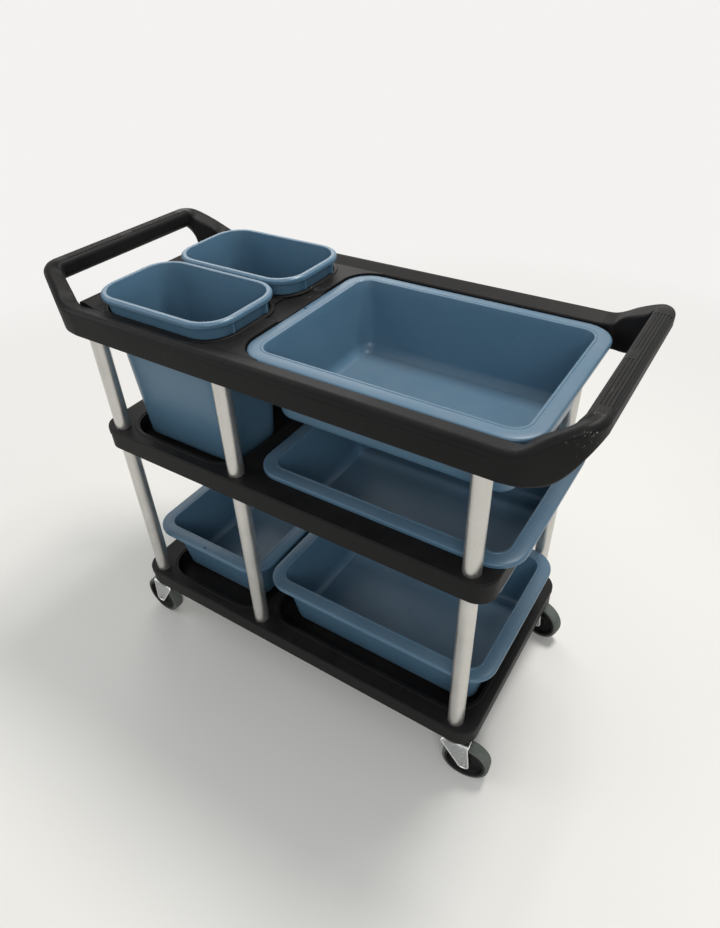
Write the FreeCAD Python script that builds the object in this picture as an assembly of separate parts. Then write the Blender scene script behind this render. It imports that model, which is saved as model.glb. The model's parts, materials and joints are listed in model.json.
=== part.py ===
import FreeCAD, Part
import math
import os

# Food service trolley: three moulded shelves on six round posts, four swivel casters, two waste bins and
# four tubs. Millimetres. The origin is on the floor under the middle of the shelves, +X runs along the
# trolley towards the tub end, +Y across it and +Z up.

V = FreeCAD.Vector

# Posts
post_dia = 32.0
post_wall = 2.0
end_post_inset = 44.0       # from a shelf's end to the end posts
side_post_inset = 24.5      # from a shelf's side to the posts
mid_post_x = -89.0          # the middle pair stands under the web between bins and tub
socket_gap = 0.1            # round a post, a spigot or a plug
boss_wall = 4.0             # plastic round a post's socket

# Shelves
shelf_length = 884.0
trolley_width = 480.0
shelf_corner = 38.0
wall = 4.5                  # thickness of every shelf moulding
cut_over = 1.0              # a cut runs past what it cuts by this
edge_round = 5.0            # rounding along the top edge of a shelf
step_in = 1.5               # the lower band of a shelf's skirt stands in by this
step_drop = 15.0            # from the shelf's top down to that step
bottom_skirt = 43.0
mid_skirt = 47.0
lower_space = 422.0         # from the bottom shelf's top up to the middle shelf's
seat_depth = 15.0           # from the middle shelf's top down to the seats of the lower posts
tray_depth = 36.0           # of the two recesses in the bottom shelf
bin_recess = 35.0           # depth of the bins' recess in the middle shelf
recess_corner = 60.0
recess_side = 28.0          # from a shelf's side to its left recess
recess_left_end = 52.0      # from a shelf's left end to its left recess
recess_web_left = 17.0      # the raised web between the two recesses, left of the middle posts
recess_web_right = 7.0      # and right of them
right_recess_side = 42.0
right_recess_end = 26.0     # from the bottom shelf's right end to its right recess
flange_drop = 26.0          # the turned-down flange round an opening

# Top shelf and its handles
rail_width = 40.0
rail_skirt = 4.0            # the rails reach below the deck's underside by this
rail_rise = 11.0            # and above the deck on their outer side
rail_dip = 1.0              # and lie below it on their inner side
seam_rise = 38.0            # from a rail's underside up to the fine seam along its outer side
seam_depth = 0.8
seam_end = 12.0             # the seam stops this far short of the rail's end
deck_overhang = 1.0         # the deck reaches past the shelves' ends by this
rail_set_back = 15.0        # from the deck's end back to where the arms of the handles start
deck_depth = 42.0
ledge_drop = 12.0           # from the deck down to the ledge on which the top tub's rim hangs
bar_rise = 7.0              # end bar beside the bins
bar_width = 15.0
bar_slope = 26.0            # the bar's sloping inner face reaches this far in
bar_round = (3.0, 5.0)      # rounding of the bar's top: inner and outer edge
notch_half = 78.0           # finger notch in the web between the bins and the tub
notch_slope = 12.0
notch_round = 4.0
notch_reach = 20.0          # the notch runs this far past the bins' rims, between them
notch_depth = 4.5
handle_gap = 66.0           # fingers' room between the deck's end and a grip
handle_corner = 47.0
grip_width = 34.0
grip_rise = 12.0            # from the rails' outer top up to a grip's underside
grip_depth = 38.0
rail_round = (3.0, 9.0, 4.0)   # rounding of a rail: along the bottom, outer top and inner top
grip_round = (14.0, 11.0)   # rounding of a grip: underneath and on top
arm_straight = 19.0         # the arms run on from the rails this far, then lean in
arm_lean = 27.0             # degrees
lean_radius = 57.0
arm_flare = 6.0            # half way round an arm its outer face leans out by this towards the top
arm_delay = 0.40            # share of the arm's way before its underside begins to rise
arm_top_share = 0.72        # share of the way by which its outer top has risen
arm_steps = (2, 4, 2, 5)    # stations along the arm's straight, lean, run and corner
arm_lap = 6.0               # an arm runs this far into its rail and its grip
arm_inset = 0.06            # and its skin lies this far inside theirs
flute_half = 152.0          # half length of the flutes
flute_count = 6
flute_pitch = 5.2
flute_mouth = 3.0           # width of a flute
flute_depth = 1.1
flute_shift = 2.0           # the flutes lie this far outwards of the grip's middle
pad_half = 15.0             # half length of the smooth pad that breaks the inner flutes
pad_flutes = 3

# Tubs: the three large ones are alike, and the small one differs only in length
tub_end_overhang = 20.0     # the upper tubs reach past the shelves' right end by this
tub_side_gap = 3.0          # between a tub's rim and the rail beside it
tub_height = 145.0
tub_corner = 56.0
tub_rim = 26.0
tub_rim_depth = 10.0
tub_base_corner = 32.0
tub_base_round = 22.0       # rounding between the walls and the floor
tub_taper_x = 24.0
tub_taper_y = 18.0
tub_wall = 3.0
tub_hole_gap = 1.5          # between a tub's body and the opening it hangs in
rim_gap = 2.0               # between a tub's rim and the web beside it
tub_left = 21.0             # from the middle posts to the rims of the upper tubs
low_tub_left = 1.0          # from the middle posts to the rim of the large low tub
small_tub_end = 14.0        # from the shelves' left end to the small tub's rim
tub_spacing = 10.0          # between the rims of the two low tubs
hang_hole = 5.0             # in the middle of a tub's left rim
# Along a rim's outside: shares of its depth and of its width
tub_rim_shape = ((1.0, 0.0), (0.45, 0.0), (0.15, 0.13), (0.0, 0.6))

# Bins
bin_end_gap = 34.0          # from the shelves' left end to the bins' rims
bin_web_gap = 11.0          # from the bins' rims to the middle posts
bin_side_gap = 33.0         # from the shelves' sides to the bins' rims
bin_height = 324.0
bin_rise = 33.0             # the bins' rims stand above the deck by this
bin_corner = 62.0
bin_rim = 8.0
bin_rim_depth = 10.0
bin_base_corner = 28.0
bin_base_round = 14.0
bin_taper_x = 22.0
bin_taper_y = 25.0
bin_hole_gap = 3.0
bin_rim_shape = ((1.0, 0.0), (0.5, 0.0), (0.15, 0.12), (0.0, 0.4))
rim_hollow = 0.55           # share of a rim's depth taken by the hollow under it
bin_wall = 3.0
bin_spacing = 6.0           # between the rims of the two bins
rib_pitch = 90.0            # between the two ribs at each end of a bin
rib_gap = 2.5               # between a rib's foot and the deck
rib_inset = 2.0             # a rib stands in from the rim's edge by this
rib_thick = 3.5

# Casters
wheel_dia = 100.0
tyre_width = 28.0
tyre_depth = 13.0
tread_drop = 0.8            # the tread's shoulders lie this far inside its crown
tread_shoulder = 5.0        # width of a shoulder
tyre_bevel = 4.0            # height of the bevel beside a shoulder
tyre_seat_inset = 2.0       # the wheel's rim is narrower than the tyre by this on each side
hub_width = 30.4
hub_dia = 20.0
hub_bevel = 2.0
web_thick = 6.0
hub_foot = (4.0, 3.0)       # the hub flares into the web: outwards, along the axle
rim_thick = 4.0             # of the wheel's rim
rim_flare = 2.0             # the rim flares into the web by this
axle_dia = 8.0
run_gap = 0.05              # running clearance on a radius
trail = 31.0                # the wheel's axle lies this far behind the swivel axis
fork_gap = 31.0             # between the two fork legs
fork_thick = 2.5
fork_rise = 12.0            # from the wheel's top up to the upper face of the fork's crown
fork_half = 26.0            # half length of a leg's upper edge
crown_half = 22.0           # half length of the crown
fork_tip = (9.0, 11.0, 9.0) # a leg passes the axle by this: towards the pin, away from it, downwards
fork_rounds = (4.0, 6.0, 9.0, 9.0)
race_dia = 48.0
race_rise = 7.0             # pressed dome of the fork's crown
race_foot = 8.0             # the dome's foot lies inside its brim by this
race_brim = 3.0             # height of the dome's brim
race_bevel = 10.0
ring_thick = 3.0
plate_thick = 3.0           # of the stem's plate under the shelf
ring_inset = 4.0            # the thrust ring stands in from the dome's brim
ring_gap = 1.0              # between the ring and the pin
pin_dia = 12.0
pin_head = (3.0, 5.0, 2.0)  # riveted head: overhang, height and bevel
pin_short = 3.0             # pins and bolts end this far below the top of a plug
spigot_length = 25.0
bolt_head = 19.0            # across flats, under the two middle posts
bolt_head_height = 7.5
washer_dia = 30.0
washer_thick = 2.0
axle_head = 13.0            # across flats
axle_head_height = 5.0
caster_yaw = {"front_left": 176.0, "front_right": 6.0, "back_left": 188.0, "back_right": -12.0}

# Worked out from the values above: levels
fork_top = wheel_dia + fork_rise
bottom_top = fork_top + race_rise + ring_thick + plate_thick + bottom_skirt
tray_floor = bottom_top - tray_depth
mid_top = bottom_top + lower_space
bin_floor = mid_top - bin_recess
deck_top = bin_floor + bin_height - bin_rise
deck_bottom = deck_top - deck_depth
ledge_top = deck_top - ledge_drop
bar_top = deck_top + bar_rise
notch_floor = deck_top - notch_depth
rail_bottom = deck_bottom - rail_skirt
rail_outer_top = deck_top + rail_rise
rail_inner_top = deck_top - rail_dip
seam_height = rail_bottom + seam_rise
grip_bottom = rail_outer_top + grip_rise
grip_top = grip_bottom + grip_depth

# Worked out from the values above: lengths and widths
half_length = shelf_length / 2
half_width = trolley_width / 2
post_r = post_dia / 2
boss_r = post_r + socket_gap + boss_wall
end_post_x = half_length - end_post_inset
post_y = half_width - side_post_inset
left_recess = (recess_left_end - half_length, mid_post_x - recess_web_left, half_width - recess_side)
right_recess = (
    mid_post_x + recess_web_right, half_length - right_recess_end, half_width - right_recess_side
)
rail_inner = half_width - rail_width
deck_end = half_length + deck_overhang
rail_end = deck_end - rail_set_back
arm_start = rail_end + arm_straight
handle_reach = deck_end + handle_gap + grip_width
tub_low_x = mid_post_x + tub_left
tub_length = half_length + tub_end_overhang - tub_low_x
tub_x = tub_low_x + tub_length / 2
tub_width = 2 * (rail_inner - tub_side_gap)
web_end = tub_low_x - rim_gap
low_tub_x = mid_post_x + low_tub_left + tub_length / 2
small_tub_right = mid_post_x + low_tub_left - tub_spacing
small_tub_length = small_tub_right + half_length - small_tub_end
small_tub_x = small_tub_right - small_tub_length / 2
bin_right = mid_post_x - bin_web_gap
bin_length = bin_right + half_length - bin_end_gap
bin_x = bin_right - bin_length / 2
bin_width = half_width - bin_side_gap - bin_spacing / 2


def rounded_wire(points, radii):
    """Closed wire through the points, each corner rounded by its own radius; 0 keeps it sharp."""
    count = len(points)
    starts = []
    middles = []
    ends = []
    for i, corner in enumerate(points):
        before = (points[i - 1] - corner).normalize()
        after = (points[(i + 1) % count] - corner).normalize()
        half_angle = before.getAngle(after) / 2
        set_back = radii[i] / math.tan(half_angle)
        bisector = (before + after).normalize()
        starts.append(corner + before * set_back)
        ends.append(corner + after * set_back)
        middles.append(corner + bisector * (radii[i] / math.sin(half_angle) - radii[i]))
    edges = []
    for i in range(count):
        if radii[i] > 0:
            edges.append(Part.Arc(starts[i], middles[i], ends[i]).toShape())
        edges.append(Part.LineSegment(ends[i], starts[(i + 1) % count]).toShape())
    return Part.Wire(edges)


def rectangle(cx, cy, half_x, half_y, radius, z):
    """Rounded rectangle, level at height z."""
    corners = [
        V(cx - half_x, cy - half_y, z),
        V(cx + half_x, cy - half_y, z),
        V(cx + half_x, cy + half_y, z),
        V(cx - half_x, cy + half_y, z),
    ]
    return rounded_wire(corners, [radius] * 4)


def span_rectangle(x0, x1, half_y, radius, z):
    return rectangle((x0 + x1) / 2, 0, (x1 - x0) / 2, half_y, radius, z)


def prism(wire, height):
    return Part.Face(wire).extrude(V(0, 0, height))


def along_x(profile, x0, x1):
    """Solid of a (y, z) profile, given as (points, radii), from x0 to x1."""
    points, radii = profile
    wire = rounded_wire([V(x0, y, z) for y, z in points], radii)
    return Part.Face(wire).extrude(V(x1 - x0, 0, 0))


def along_y(profile, y0, y1):
    """Solid of an (x, z) profile, given as (points, radii), from y0 to y1."""
    points, radii = profile
    wire = rounded_wire([V(x, y0, z) for x, z in points], radii)
    return Part.Face(wire).extrude(V(0, y1 - y0, 0))


def box(x0, x1, y0, y1, z0, z1):
    return Part.makeBox(x1 - x0, y1 - y0, z1 - z0, V(x0, y0, z0))


def cylinder(radius, x, y, z0, z1):
    return Part.makeCylinder(radius, z1 - z0, V(x, y, z0))


def turned(profile, x=0.0, y=0.0):
    """Solid of revolution about the vertical axis at (x, y) from (radius, z) points."""
    wire = Part.makePolygon([V(r, 0, z) for r, z in profile + profile[:1]])
    solid = Part.Face(wire).revolve(V(0, 0, 0), V(0, 0, 1), 360)
    solid.translate(V(x, y, 0))
    return solid


def hexagon(flats, x, y, z0, z1):
    radius = flats / 2 / math.cos(math.pi / 6)
    corners = []
    for i in range(7):
        angle = math.pi / 3 * i
        corners.append(V(x + radius * math.cos(angle), y + radius * math.sin(angle), z0))
    return Part.Face(Part.makePolygon(corners)).extrude(V(0, 0, z1 - z0))


def post_places():
    """Short name and plan position of every post."""
    places = {}
    for side, y in (("front", -post_y), ("back", post_y)):
        places[side + "_left"] = (-end_post_x, y)
        places[side + "_mid"] = (mid_post_x, y)
        places[side + "_right"] = (end_post_x, y)
    return places


def fuse_all(solids):
    return solids[0].multiFuse(solids[1:])


def cut_all(solid, tools):
    return solid.cut(fuse_all(tools))


# Middle and bottom shelves

def shelf_block(top, skirt):
    """The solid outline of a shelf: a rounded deck with a skirt whose lower band stands in a little."""
    band = prism(rectangle(0, 0, half_length, half_width, shelf_corner, top - step_drop), step_drop)
    band = band.makeFillet(edge_round, [e for e in band.Edges if e.BoundBox.ZMin > top - step_drop / 2])
    lower = rectangle(
        0, 0, half_length - step_in, half_width - step_in, shelf_corner - step_in, top - skirt
    )
    return band.fuse(prism(lower, skirt))


def shelf_hollow(top, skirt, keep):
    """The space under a shelf's deck, less the walls named in keep."""
    inset = step_in + wall
    outline = rectangle(
        0, 0, half_length - inset, half_width - inset, shelf_corner - inset, top - skirt - 1
    )
    return prism(outline, skirt + 1 - wall).cut(fuse_all(keep))


def recess(place, floor, top, grow=0.0):
    """A recess for the containers. With grow it is the outside of the recess's own walls."""
    x0, x1, half_y = place
    outline = span_rectangle(x0 - grow, x1 + grow, half_y + grow, recess_corner + grow, floor - grow)
    return prism(outline, top - floor + grow)


def container_hole(place, size, edge, corner, z0, z1):
    """Opening round a container's body, which stands in from its rim by edge."""
    half_x = size[0] / 2 - edge[0]
    half_y = size[1] / 2 - edge[1]
    return prism(rectangle(place[0], place[1], half_x, half_y, corner - edge[0], z0), z1 - z0)


def tub_hole(z0, z1, grow=0.0):
    """Opening for an upper tub. With grow it is the outside of the flange round it."""
    edge = tub_rim - tub_hole_gap - grow
    return container_hole((tub_x, 0), (tub_length, tub_width), (edge, edge), tub_corner, z0, z1)


def bin_y():
    return (bin_width + bin_spacing) / 2


def bin_hole(cy, z0, z1, grow=0.0):
    """Opening for a bin, whose body has tapered a little where it meets the deck."""
    share = 1 - (deck_top - bin_floor) / bin_height
    gap = bin_hole_gap + grow
    edge = (bin_rim + bin_taper_x * share - gap, bin_rim + bin_taper_y * share - gap)
    return container_hole((bin_x, cy), (bin_length, bin_width), edge, bin_corner, z0, z1)


def bottom_shelf():
    low = bottom_top - bottom_skirt
    bosses = [cylinder(boss_r, x, y, low, bottom_top) for x, y in post_places().values()]
    both = (left_recess, right_recess)
    keep = [recess(place, tray_floor, bottom_top, grow=wall) for place in both] + bosses
    shelf = shelf_block(bottom_top, bottom_skirt).cut(shelf_hollow(bottom_top, bottom_skirt, keep))
    pin_r = pin_dia / 2 + socket_gap
    start = low - cut_over
    holes = [cylinder(pin_r, x, y, start, bottom_top + cut_over) for x, y in post_places().values()]
    recesses = [recess(place, tray_floor, bottom_top) for place in both]
    return cut_all(shelf, recesses + holes).removeSplitter()


def lower_seat():
    """Height where the top of a lower post meets the middle shelf."""
    return mid_top - seat_depth


def mid_shelf():
    low = mid_top - mid_skirt
    places = post_places().values()
    bosses = [cylinder(boss_r, x, y, low, mid_top) for x, y in places]
    flange = tub_hole(mid_top - flange_drop, mid_top, grow=wall)
    keep = [recess(left_recess, bin_floor, mid_top, grow=wall), flange] + bosses
    shelf = shelf_block(mid_top, mid_skirt).cut(shelf_hollow(mid_top, mid_skirt, keep))
    start = low - cut_over
    sockets = [cylinder(post_r + socket_gap, x, y, start, lower_seat()) for x, y in places]
    pin_r = pin_dia / 2 + socket_gap
    holes = [cylinder(pin_r, x, y, low, mid_top + cut_over) for x, y in places]
    opening = tub_hole(start, mid_top + cut_over)
    pocket = recess(left_recess, bin_floor, mid_top)
    return cut_all(shelf, [pocket, opening] + sockets + holes).removeSplitter()


# Top shelf

def rail_profile():
    """Section of a rail: its crown rises outwards."""
    points = [
        (rail_inner, rail_bottom),
        (half_width, rail_bottom),
        (half_width, rail_outer_top),
        (rail_inner, rail_inner_top),
    ]
    low, outer, inner = rail_round
    return points, [low, low, outer, inner]


def rail_channel():
    """The hollow under a rail."""
    points = [
        (rail_inner + wall, rail_bottom - cut_over),
        (half_width - wall, rail_bottom - cut_over),
        (half_width - wall, rail_outer_top - 2 * wall),
        (rail_inner + wall, rail_inner_top - 2 * wall),
    ]
    return points, [0, 0, rail_round[1] - wall, rail_round[2]]


def upper_seat():
    """Height where the top of an upper post meets the top shelf."""
    return rail_inner_top - 2 * wall


def ease(share):
    """Smooth rise from 0 to 1, level at both ends."""
    share = min(max(share, 0.0), 1.0)
    return share * share * (3 - 2 * share)


def between(low, high, share):
    return low + (high - low) * share


def handle_path():
    """Stations along the outer line of an arm in the back right quarter: (point, heading, share of the way).

    The line leaves the rail straight, leans in, runs on and turns round the corner into the grip. The
    heading is the angle turned so far."""
    lean = math.radians(arm_lean)
    run = handle_reach - arm_start - lean_radius * math.sin(lean) - handle_corner * (1 - math.sin(lean))
    lengths = (arm_straight, lean_radius * lean, run / math.cos(lean), handle_corner * (math.pi / 2 - lean))
    turns = (0.0, arm_lean, 0.0, 90 - arm_lean)
    whole = sum(lengths)
    point = V(rail_end, half_width, 0)
    heading = 0.0
    gone = 0.0
    stations = [(point, heading, gone)]
    for length, turn, steps in zip(lengths, turns, arm_steps):
        half_turn = math.radians(turn) / steps / 2
        chord = length / steps
        if turn:
            chord *= math.sin(half_turn) / half_turn
        for _ in range(steps):
            along = math.radians(heading) + half_turn
            point = point + V(math.cos(along), -math.sin(along), 0) * chord
            heading += turn / steps
            gone += length / steps
            stations.append((point, heading, gone / whole))
    return stations


def handle_section(point, heading, share, run=0.0, inset=0.0):
    """Section of a handle arm at a station of its path, moved on by run and drawn in by inset."""
    turn = math.radians(heading)
    width = between(rail_width, grip_width, ease(share))
    outward = V(math.sin(turn), math.cos(turn), 0)
    forward = V(math.cos(turn), -math.sin(turn), 0)
    outer = point + forward * run - outward * inset
    inner = point + forward * run - outward * (width - inset)
    rise = ease(share / arm_top_share)
    low = between(rail_bottom, grip_bottom, ease((share - arm_delay) / (1 - arm_delay))) + inset
    flare = arm_flare * math.sin(math.pi * share)
    points = [
        inner + V(0, 0, low),
        outer - outward * flare + V(0, 0, low),
        outer + V(0, 0, between(rail_outer_top, grip_top, rise) - inset),
        inner + V(0, 0, between(rail_inner_top, grip_top, ease(share)) - inset),
    ]
    low_round = between(rail_round[0], grip_round[0], ease(share))
    outer_round = between(rail_round[1], grip_round[1], share)
    inner_round = between(rail_round[2], grip_round[1], share)
    return rounded_wire(points, [low_round, low_round, outer_round, inner_round])


def handle_arm():
    """One arm: it leaves the rail level, sweeps up and out and turns into the grip."""
    stations = handle_path()
    sections = [handle_section(*stations[0], run=-arm_lap, inset=arm_inset)]
    sections += [handle_section(*station, inset=arm_inset) for station in stations]
    sections.append(handle_section(*stations[-1], run=arm_lap, inset=arm_inset))
    return Part.makeLoft(sections, True, False)


def crown_point(offset):
    """A point of a grip's crown, as x and z, and its outward direction; offset runs across the crown."""
    flat = grip_width / 2 - grip_round[1]
    over = max(abs(offset) - flat, 0.0) / grip_round[1]
    side = math.copysign(1.0, offset)
    x = side * (min(abs(offset), flat) + grip_round[1] * math.sin(over))
    z = grip_top - grip_round[1] * (1 - math.cos(over))
    middle = handle_reach - grip_width / 2
    return V(middle + x, 0, z), V(side * math.sin(over), 0, math.cos(over))


def flute(offset, y0, y1):
    point, outward = crown_point(offset)
    aside = V(outward.z, 0, -outward.x)
    mouth = point + outward * flute_depth
    corners = [mouth - aside * flute_mouth, mouth + aside * flute_mouth, point - outward * flute_depth]
    return along_y(([(c.x, c.z) for c in corners], [0, 0, 0]), y0, y1)


def grip():
    """The straight part of a grip. A smooth pad breaks the flutes nearest the deck."""
    end = handle_path()[-1]
    bar = Part.Face(handle_section(*end)).extrude(V(0, -2 * end[0].y, 0))
    flutes = []
    for i in range(flute_count):
        offset = (i - (flute_count - 1) / 2) * flute_pitch + flute_shift
        if i < pad_flutes:
            flutes.append(flute(offset, -flute_half, -pad_half))
            flutes.append(flute(offset, pad_half, flute_half))
        else:
            flutes.append(flute(offset, -flute_half, flute_half))
    return cut_all(bar, flutes)


def bin_deck(grow=0.0):
    """The raised deck round the bins. It hugs the corners of the top tub. With grow it is its hollow."""
    right = web_end + tub_corner if grow == 0 else bin_right - notch_reach - grow
    half = rail_inner + wall / 2 - grow
    deck = box(-deck_end + grow, right, -half, half, deck_bottom - grow, deck_top - grow)
    edge = (-rim_gap, -rim_gap)
    top = deck_top + cut_over
    tub_pocket = container_hole((tub_x, 0), (tub_length, tub_width), edge, tub_corner, ledge_top, top)
    return deck.cut(tub_pocket)


def end_bar():
    """Low bar along the bins' end of the deck, with a bevel down to the deck."""
    foot = -deck_end + bar_width + bar_slope
    profile = [
        (-deck_end, deck_top - wall),
        (foot, deck_top - wall),
        (foot, deck_top),
        (-deck_end + bar_width, bar_top),
        (-deck_end, bar_top),
    ]
    half = rail_inner + wall / 2
    inner, outer = bar_round
    return along_y((profile, [0, 0, 0, inner, outer]), -half, half)


def finger_notch():
    """Shallow dip in the deck beside the top tub's rim, for the fingers that lift the tub."""
    top = deck_top + cut_over
    profile = [
        (-notch_half, top),
        (-notch_half + notch_slope, notch_floor),
        (notch_half - notch_slope, notch_floor),
        (notch_half, top),
    ]
    start = bin_right - notch_reach
    return along_x((profile, [0, notch_round, notch_round, 0]), start, web_end + cut_over)


def seam():
    """V groove for the fine seam along a rail."""
    inner = half_width - seam_depth
    outer = half_width + cut_over
    rise = seam_depth + cut_over
    points = [(inner, seam_height), (outer, seam_height - rise), (outer, seam_height + rise)]
    end = rail_end - seam_end
    return along_x((points, [0, 0, 0]), -end, end)


def top_shelf():
    back = V(0, 1, 0)
    left = V(1, 0, 0)
    origin = V(0, 0, 0)
    rail = along_x(rail_profile(), -rail_end, rail_end)
    arm = handle_arm()
    arms = [arm, arm.mirror(origin, back)]
    pieces = [rail, rail.mirror(origin, back), grip(), grip().mirror(origin, left)]
    pieces += arms + [a.mirror(origin, left) for a in arms]
    deck_half = rail_inner + wall / 2
    pieces.append(box(-deck_end, deck_end, -deck_half, deck_half, deck_bottom, ledge_top))
    pieces += [bin_deck(), end_bar()]
    shelf = fuse_all(pieces)

    places = post_places().values()
    channel = along_x(rail_channel(), -rail_end + wall, rail_end - wall)
    bosses = [cylinder(boss_r, x, y, deck_bottom, upper_seat() + wall) for x, y in places]
    flanges = [tub_hole(ledge_top - flange_drop, ledge_top, grow=wall)]
    flanges += [bin_hole(y, ledge_top - flange_drop, deck_top, grow=wall) for y in (-bin_y(), bin_y())]
    side = rail_inner - wall
    end = deck_end - wall
    under = box(-end, end, -side, side, deck_bottom - cut_over, ledge_top - wall)
    hollows = [channel, channel.mirror(origin, back), under, bin_deck(grow=wall)]
    shelf = shelf.cut(fuse_all(hollows).cut(fuse_all(bosses + flanges)))

    low = deck_bottom - cut_over
    openings = [tub_hole(low, deck_top + cut_over)]
    openings += [bin_hole(y, low, bar_top + cut_over) for y in (-bin_y(), bin_y())]
    socket_start = rail_bottom - cut_over
    sockets = [cylinder(post_r + socket_gap, x, y, socket_start, upper_seat()) for x, y in places]
    seams = [seam(), seam().mirror(origin, back)]
    return cut_all(shelf, openings + sockets + seams + [finger_notch()]).removeSplitter()


# Tubs and bins

def container(place, size, rounds, rim, taper, thick):
    """An open, tapering container with a turned-down rim. Place is its middle and its underside."""
    cx, cy, z = place
    length, width, height = size
    corner, base_corner, base_round = rounds
    rim_width, rim_depth, rim_shape = rim

    def section(rise, inset):
        share = 1 - rise / height
        half_x = length / 2 - rim_width - taper[0] * share - inset
        half_y = width / 2 - rim_width - taper[1] * share - inset
        radius = between(corner - rim_width, base_corner, share) - inset
        return rectangle(cx, cy, half_x, half_y, radius, z + rise)

    def rim_section(drop, inset):
        half_x = length / 2 - inset
        half_y = width / 2 - inset
        return rectangle(cx, cy, half_x, half_y, corner - inset, z + height - drop)

    def walls(low, high, inset):
        """Tapering block with a rounded base."""
        block = Part.makeLoft([section(low, inset), section(high, inset)], True, True)
        base = [edge for edge in block.Edges if edge.BoundBox.ZMax < z + low + thick / 2]
        return block.makeFillet(base_round - inset, base)

    stations = [rim_section(rim_depth * drop, rim_width * inset) for drop, inset in rim_shape]
    flange = Part.makeLoft(stations, True, True)
    rise = rim_depth * rim_hollow - thick / 2 + cut_over
    under = prism(rim_section(rim_depth + cut_over, thick), rise)
    core = prism(section(height - rim_depth, -cut_over / 2), rim_depth)
    core.translate(V(0, 0, -2 * cut_over))
    inside = walls(thick, height + cut_over, thick)
    return walls(0, height, 0).fuse(flange).cut(under.cut(core)).cut(inside)


def tub(cx, z, length):
    size = (length, tub_width, tub_height)
    taper = (tub_taper_x, tub_taper_y)
    rounds = (tub_corner, tub_base_corner, tub_base_round)
    rim = (tub_rim, tub_rim_depth, tub_rim_shape)
    body = container((cx, 0, z), size, rounds, rim, taper, tub_wall)
    top = z + tub_height
    low = top - tub_rim_depth
    hole = cylinder(hang_hole / 2, cx - length / 2 + tub_rim / 2, 0, low, top + cut_over)
    return body.cut(hole)


def bin_with_ribs(cy):
    """A bin with a pair of short upright ribs under its rim at each end."""
    size = (bin_length, bin_width, bin_height)
    taper = (bin_taper_x, bin_taper_y)
    rounds = (bin_corner, bin_base_corner, bin_base_round)
    rim = (bin_rim, bin_rim_depth, bin_rim_shape)
    body = container((bin_x, cy, bin_floor), size, rounds, rim, taper, bin_wall)
    foot = deck_top + rib_gap
    top = bin_floor + bin_height - bin_rim_depth * (1 - rim_hollow / 2)
    share = 1 - (foot - bin_floor) / bin_height
    root = bin_length / 2 - bin_rim - bin_taper_x * share - bin_wall / 2
    tip = bin_length / 2 - rib_inset
    ribs = []
    for end in (-1, 1):
        for side in (-1, 1):
            y = cy + side * rib_pitch / 2
            corners = [(root, foot), (tip, foot), (tip, top), (root, top)]
            points = [(bin_x + end * x, z) for x, z in corners]
            ribs.append(along_y((points, [0] * 4), y - rib_thick / 2, y + rib_thick / 2))
    return fuse_all([body] + ribs)


# Casters, built with the swivel axis on the z axis and the wheel trailing towards +X

def both_sides(profile):
    """Closes a (radius, side) profile with its mirror image on the other side of a wheel."""
    return profile + [(r, -side) for r, side in reversed(profile)]


def tyre():
    outer = wheel_dia / 2
    half = tyre_width / 2
    side = [
        (outer, half / 4),
        (outer - tread_drop, half - tread_shoulder),
        (outer - tyre_bevel, half),
        (outer - tyre_depth, half - tyre_seat_inset),
    ]
    return on_axle(turned(both_sides(side)))


def wheel():
    rim_r = wheel_dia / 2 - tyre_depth
    half = tyre_width / 2 - tyre_seat_inset
    hub = hub_dia / 2
    web = web_thick / 2
    out, along = hub_foot
    side = [
        (rim_r, half),
        (rim_r - rim_thick, half),
        (rim_r - rim_thick - rim_flare, web),
        (hub + out, web),
        (hub, web + along),
        (hub - hub_bevel, hub_width / 2),
        (axle_dia / 2 + run_gap, hub_width / 2),
    ]
    return on_axle(turned(both_sides(side)))


def on_axle(solid):
    """Turns a solid made about the z axis onto the wheel's axle."""
    solid.rotate(V(0, 0, 0), V(1, 0, 0), 90)
    solid.translate(V(trail, 0, wheel_dia / 2))
    return solid


def race_low():
    """Underside of the thrust ring, where it rests on the fork's dome."""
    return fork_top + race_rise


def fork():
    """Pressed crown with two tapering legs."""
    under = fork_top - fork_thick
    outer = fork_gap / 2 + fork_thick
    inward, outward, drop = fork_tip
    tip_z = wheel_dia / 2 - drop
    leg = [(-fork_half, fork_top), (fork_half, fork_top), (trail + outward, tip_z), (trail - inward, tip_z)]
    legs = []
    for y0 in (-outer, fork_gap / 2):
        legs.append(along_y((leg, fork_rounds), y0, y0 + fork_thick))
    crown = box(-crown_half, crown_half, -outer, outer, under, fork_top)
    dome_r = race_dia / 2
    top = race_low()
    dome = [
        (0, under),
        (dome_r - race_foot, under),
        (dome_r, top - race_brim),
        (dome_r, top),
        (dome_r - race_bevel, top),
        (0, top),
    ]
    body = fuse_all(legs + [crown, turned(dome)])
    pin_hole = cylinder(pin_dia / 2 + run_gap, 0, 0, under - cut_over, top + cut_over)
    axle_r = axle_dia / 2 + socket_gap
    axle_hole = on_axle(cylinder(axle_r, 0, 0, -outer - cut_over, outer + cut_over))
    return cut_all(body, [pin_hole, axle_hole])


def axle():
    """Hex bolt and nut through the fork legs."""
    outer = fork_gap / 2 + fork_thick
    end = outer + axle_head_height
    head = hexagon(axle_head, 0, 0, outer, end)
    nut = hexagon(axle_head, 0, 0, -end, -outer)
    return on_axle(fuse_all([cylinder(axle_dia / 2, 0, 0, -end, end), head, nut]))


def ring():
    """Plain thrust ring between the fork and the plate above it."""
    low = race_low()
    inner = pin_dia / 2 + ring_gap
    outer = race_dia / 2 - ring_inset
    return turned([(inner, low), (outer, low), (outer, low + ring_thick), (inner, low + ring_thick)])


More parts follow.
